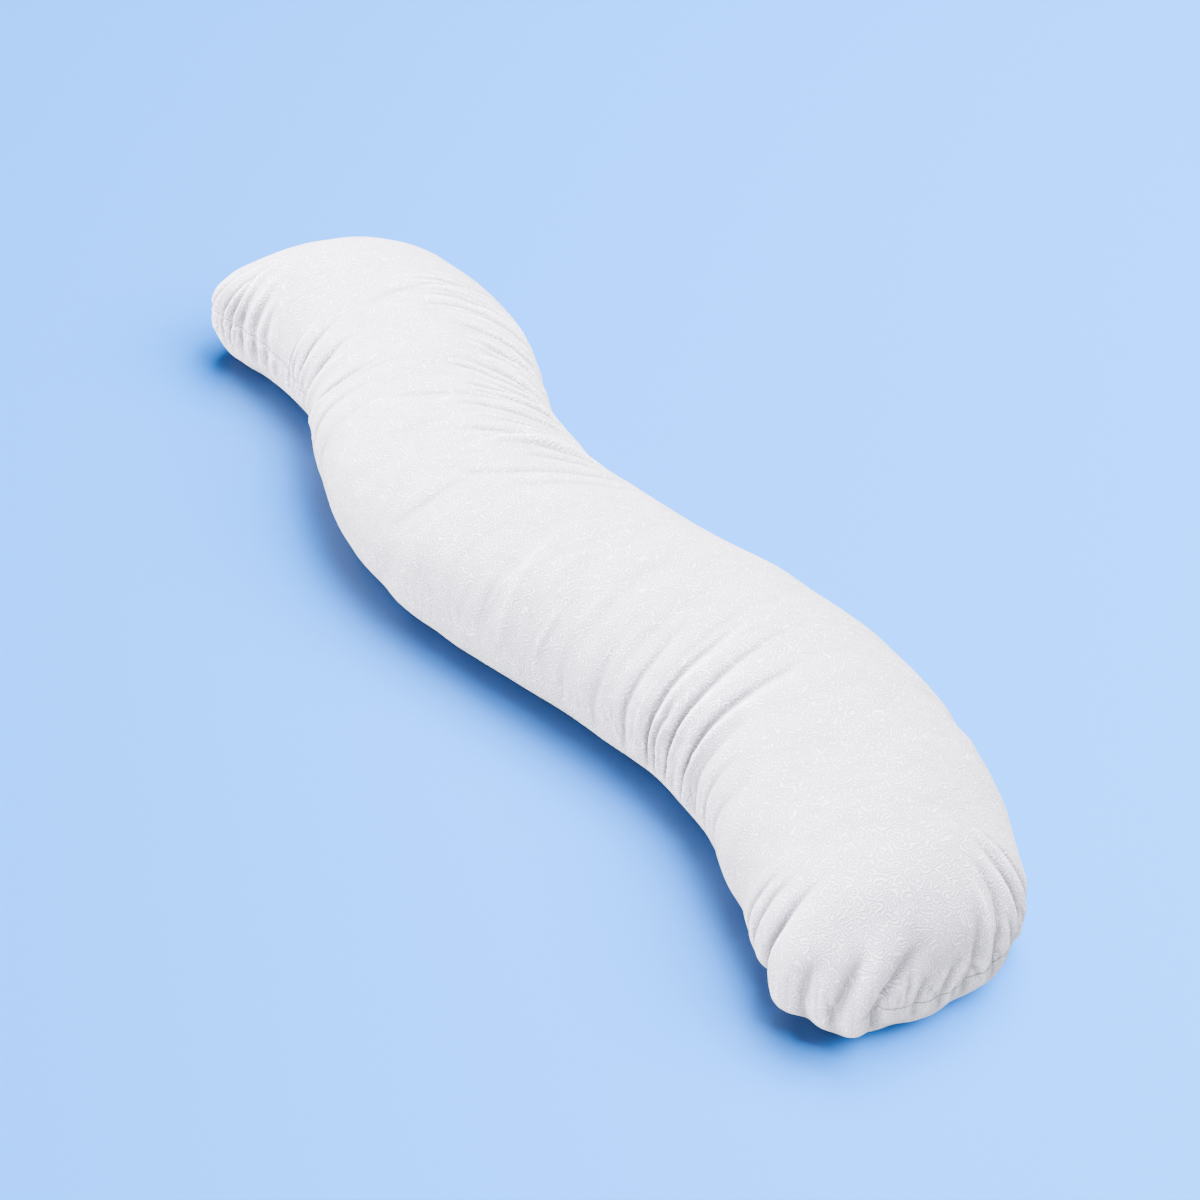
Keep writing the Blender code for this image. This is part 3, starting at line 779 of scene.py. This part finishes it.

# The seam: a thin groove where the two panels meet, pressed into the bump, with a dark line of painted shade
# along it in the colour.
over = add(tree, "ShaderNodeAttribute", (-1000, 400), attribute_name="seam_way")
seen_seam = add(tree, "ShaderNodeAttribute", (-1000, 600), attribute_name="seam_shows")
off_seam = add(tree, "ShaderNodeMath", (-800, 400), operation="ABSOLUTE")
tree.links.new(over.outputs["Fac"], off_seam.inputs[0])
groove = add(tree, "ShaderNodeMapRange", (-600, 400), interpolation_type="SMOOTHSTEP")
groove.inputs["From Min"].default_value = 0.0
groove.inputs["From Max"].default_value = 0.0015
groove.inputs["To Min"].default_value = 1.0
groove.inputs["To Max"].default_value = 0.0
tree.links.new(off_seam.outputs[0], groove.inputs["Value"])
stitched = add(tree, "ShaderNodeMath", (-400, 400), operation="MULTIPLY")
tree.links.new(groove.outputs["Result"], stitched.inputs[0])
tree.links.new(seen_seam.outputs["Fac"], stitched.inputs[1])

# Nap: fine short fibres, under the curls and the groove.
nap = add(tree, "ShaderNodeTexNoise", (-1000, -500), Scale=900.0, Detail=3.0)
tree.links.new(spot.outputs["Object"], nap.inputs["Vector"])
height = add(tree, "ShaderNodeMath", (-200, -300), operation="MULTIPLY_ADD")
height.inputs[1].default_value = 0.15
tree.links.new(nap.outputs["Fac"], height.inputs[0])
tree.links.new(raised.outputs["Result"], height.inputs[2])
grooved = add(tree, "ShaderNodeMath", (0, -300), operation="MULTIPLY_ADD")
grooved.inputs[1].default_value = -1.5
tree.links.new(stitched.outputs[0], grooved.inputs[0])
tree.links.new(height.outputs[0], grooved.inputs[2])
bump = add(tree, "ShaderNodeBump", (200, -300), Strength=1.0, Distance=0.0008)
tree.links.new(grooved.outputs[0], bump.inputs["Height"])
tree.links.new(bump.outputs["Normal"], shader.inputs["Normal"])

# Colour: a little lighter on the raised curls and softly clouded, with painted shade in the folds' valleys, a
# painted highlight on their crests and the deepest painted shade along the seam. What bounces off it is
# dimmer than what is seen of it, so that folds and the floor beside it stay dark.
tone = add(tree, "ShaderNodeMix", (0, 200), data_type="RGBA")
tone.inputs[6].default_value = (0.540, 0.528, 0.615, 1.0)
tone.inputs[7].default_value = (0.825, 0.806, 0.922, 1.0)
tree.links.new(raised.outputs["Result"], tone.inputs["Factor"])
# Painted shade in the folds' valleys and a painted highlight on their crests: the colour is scaled from 0.54
# to 1.24 by how high the cloth stands over its surroundings.
deep = add(tree, "ShaderNodeAttribute", (-400, 600), attribute_name="painted_fold_shade")
shade = add(tree, "ShaderNodeMapRange", (-200, 500))
shade.inputs["From Min"].default_value = -1.0
shade.inputs["From Max"].default_value = 1.0
shade.inputs["To Min"].default_value = 0.54
shade.inputs["To Max"].default_value = 1.24
tree.links.new(deep.outputs["Fac"], shade.inputs["Value"])
# Painted shade in the seam's groove: the colour falls to 0.3 on its line.
dark = add(tree, "ShaderNodeMath", (-200, 350), operation="MULTIPLY_ADD")
dark.inputs[1].default_value = -0.70
dark.inputs[2].default_value = 1.0
tree.links.new(stitched.outputs[0], dark.inputs[0])
clouds = add(tree, "ShaderNodeTexNoise", (-600, 900), Scale=32.0, Detail=2.0)
tree.links.new(flat.outputs["Vector"], clouds.inputs["Vector"])
clouded = add(tree, "ShaderNodeMapRange", (-400, 900))
clouded.inputs["From Min"].default_value = 0.30
clouded.inputs["From Max"].default_value = 0.70
clouded.inputs["To Min"].default_value = 0.94
clouded.inputs["To Max"].default_value = 1.06
tree.links.new(clouds.outputs["Fac"], clouded.inputs["Value"])
both = add(tree, "ShaderNodeMath", (-100, 650), operation="MULTIPLY")
tree.links.new(shade.outputs["Result"], both.inputs[0])
tree.links.new(clouded.outputs["Result"], both.inputs[1])
shaded = add(tree, "ShaderNodeMath", (0, 400), operation="MULTIPLY")
tree.links.new(both.outputs[0], shaded.inputs[0])
tree.links.new(dark.outputs[0], shaded.inputs[1])
path = add(tree, "ShaderNodeLightPath", (-200, 800))
bounced = add(tree, "ShaderNodeMath", (0, 700), operation="MULTIPLY_ADD")
bounced.inputs[1].default_value = -0.72
bounced.inputs[2].default_value = 1.0
tree.links.new(path.outputs["Is Diffuse Ray"], bounced.inputs[0])
dimmed = add(tree, "ShaderNodeMath", (150, 500), operation="MULTIPLY")
tree.links.new(shaded.outputs[0], dimmed.inputs[0])
tree.links.new(bounced.outputs[0], dimmed.inputs[1])
folded = add(tree, "ShaderNodeVectorMath", (200, 300), operation="SCALE")
tree.links.new(tone.outputs[2], folded.inputs[0])
tree.links.new(dimmed.outputs[0], folded.inputs["Scale"])
tree.links.new(folded.outputs["Vector"], shader.inputs["Base Color"])

cover.data.materials.append(knit)
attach(cover, "root")
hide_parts("pillow")


# ==== The floor and the studio light ====
# A wide sheet of satin paper, pale blue as it is seen and a neutral grey to the light that bounces off it,
# with a faint glow painted into it that greys the pillow's shadow.
# Four soft lights reach the pillow alone, a window over its far side and low fills at its head, left side and
# foot. Two large panels reach the floor alone and give the pillow's shadow its softness and its depth.

bpy.ops.mesh.primitive_plane_add(size=30.0)
floor = bpy.context.object
floor.name = "floor"
paper = bpy.data.materials.new("pale paper")
paper.use_nodes = True
tree = paper.node_tree
shader = tree.nodes["Principled BSDF"]
shader.inputs["Roughness"].default_value = 0.45
shader.inputs["Specular IOR Level"].default_value = 0.8
# A faint even white glow painted into the floor, which lifts and greys the pillow's shadow.
shader.inputs["Emission Color"].default_value = (1.0, 1.0, 1.0, 1.0)
shader.inputs["Emission Strength"].default_value = 0.012
path = add(tree, "ShaderNodeLightPath", (-600, 200))
tint = add(tree, "ShaderNodeMix", (-300, 200), data_type="RGBA")
tint.inputs[6].default_value = (0.20, 0.20, 0.21, 1.0)
tint.inputs[7].default_value = (0.004, 0.25, 1.0, 1.0)
tree.links.new(path.outputs["Is Camera Ray"], tint.inputs["Factor"])
tree.links.new(tint.outputs[2], shader.inputs["Base Color"])
floor.data.materials.append(paper)


def soft_light(name, place, size, power, colour):
    """A square area light that faces the pillow's middle."""
    data = bpy.data.lights.new(name, "AREA")
    data.size = size
    data.energy = power
    data.color = colour
    lamp = bpy.data.objects.new(name, data)
    lamp.location = place
    lamp.rotation_euler = (Vector((0, 0, 0.08)) - Vector(place)).to_track_quat("-Z", "Y").to_euler()
    bpy.context.scene.collection.objects.link(lamp)
    return lamp


lit_as_cover = bpy.data.collections.new("lit as the cover")
lit_as_cover.objects.link(cover)
for name, place, size, power, colour in (
    ("window", (0.63, -1.10, 2.80), 2.0, 865.0, (0.97, 0.97, 1.0)),
    ("head fill", (2.19, 1.71, 1.20), 0.9, 350.0, (0.96, 0.96, 1.0)),
    ("side fill", (0.51, 2.89, 0.70), 0.9, 200.0, (0.96, 0.96, 1.0)),
    ("foot fill", (-2.55, 1.35, 0.85), 0.9, 120.0, (0.96, 0.96, 1.0)),
):
    lamp = soft_light(name, place, size, power, colour)
    lamp.light_linking.receiver_collection = lit_as_cover
lit_as_floor = bpy.data.collections.new("lit as the floor")
lit_as_floor.objects.link(floor)
for name, place, size, power in (
    ("wide panel", (-2.45, -2.60, 4.80), 5.6, 2400.0),
    ("back panel", (1.30, -2.10, 5.20), 3.6, 1050.0),
):
    panel = soft_light(name, place, size, power, (0.95, 1.0, 1.0))
    panel.light_linking.receiver_collection = lit_as_floor
    panel.visible_glossy = False
world = bpy.data.worlds.new("studio")
world.use_nodes = True
world.node_tree.nodes["Background"].inputs["Color"].default_value = (0.93, 0.95, 1.0, 1.0)
world.node_tree.nodes["Background"].inputs["Strength"].default_value = 0.04
bpy.context.scene.world = world


# ==== The camera ====
# Above the pillow's left side and behind its foot end, looking down at it at about 40 degrees.

camera_data = bpy.data.cameras.new("camera")
camera_data.lens = 97.05
camera = bpy.data.objects.new("camera", camera_data)
camera.location = (-2.3194, 1.4430, 2.2438)
aim = Vector((-0.0565, 0.0220, 0.0800))
camera.rotation_euler = (aim - camera.location).to_track_quat("-Z", "Y").to_euler()
bpy.context.scene.collection.objects.link(camera)
bpy.context.scene.camera = camera
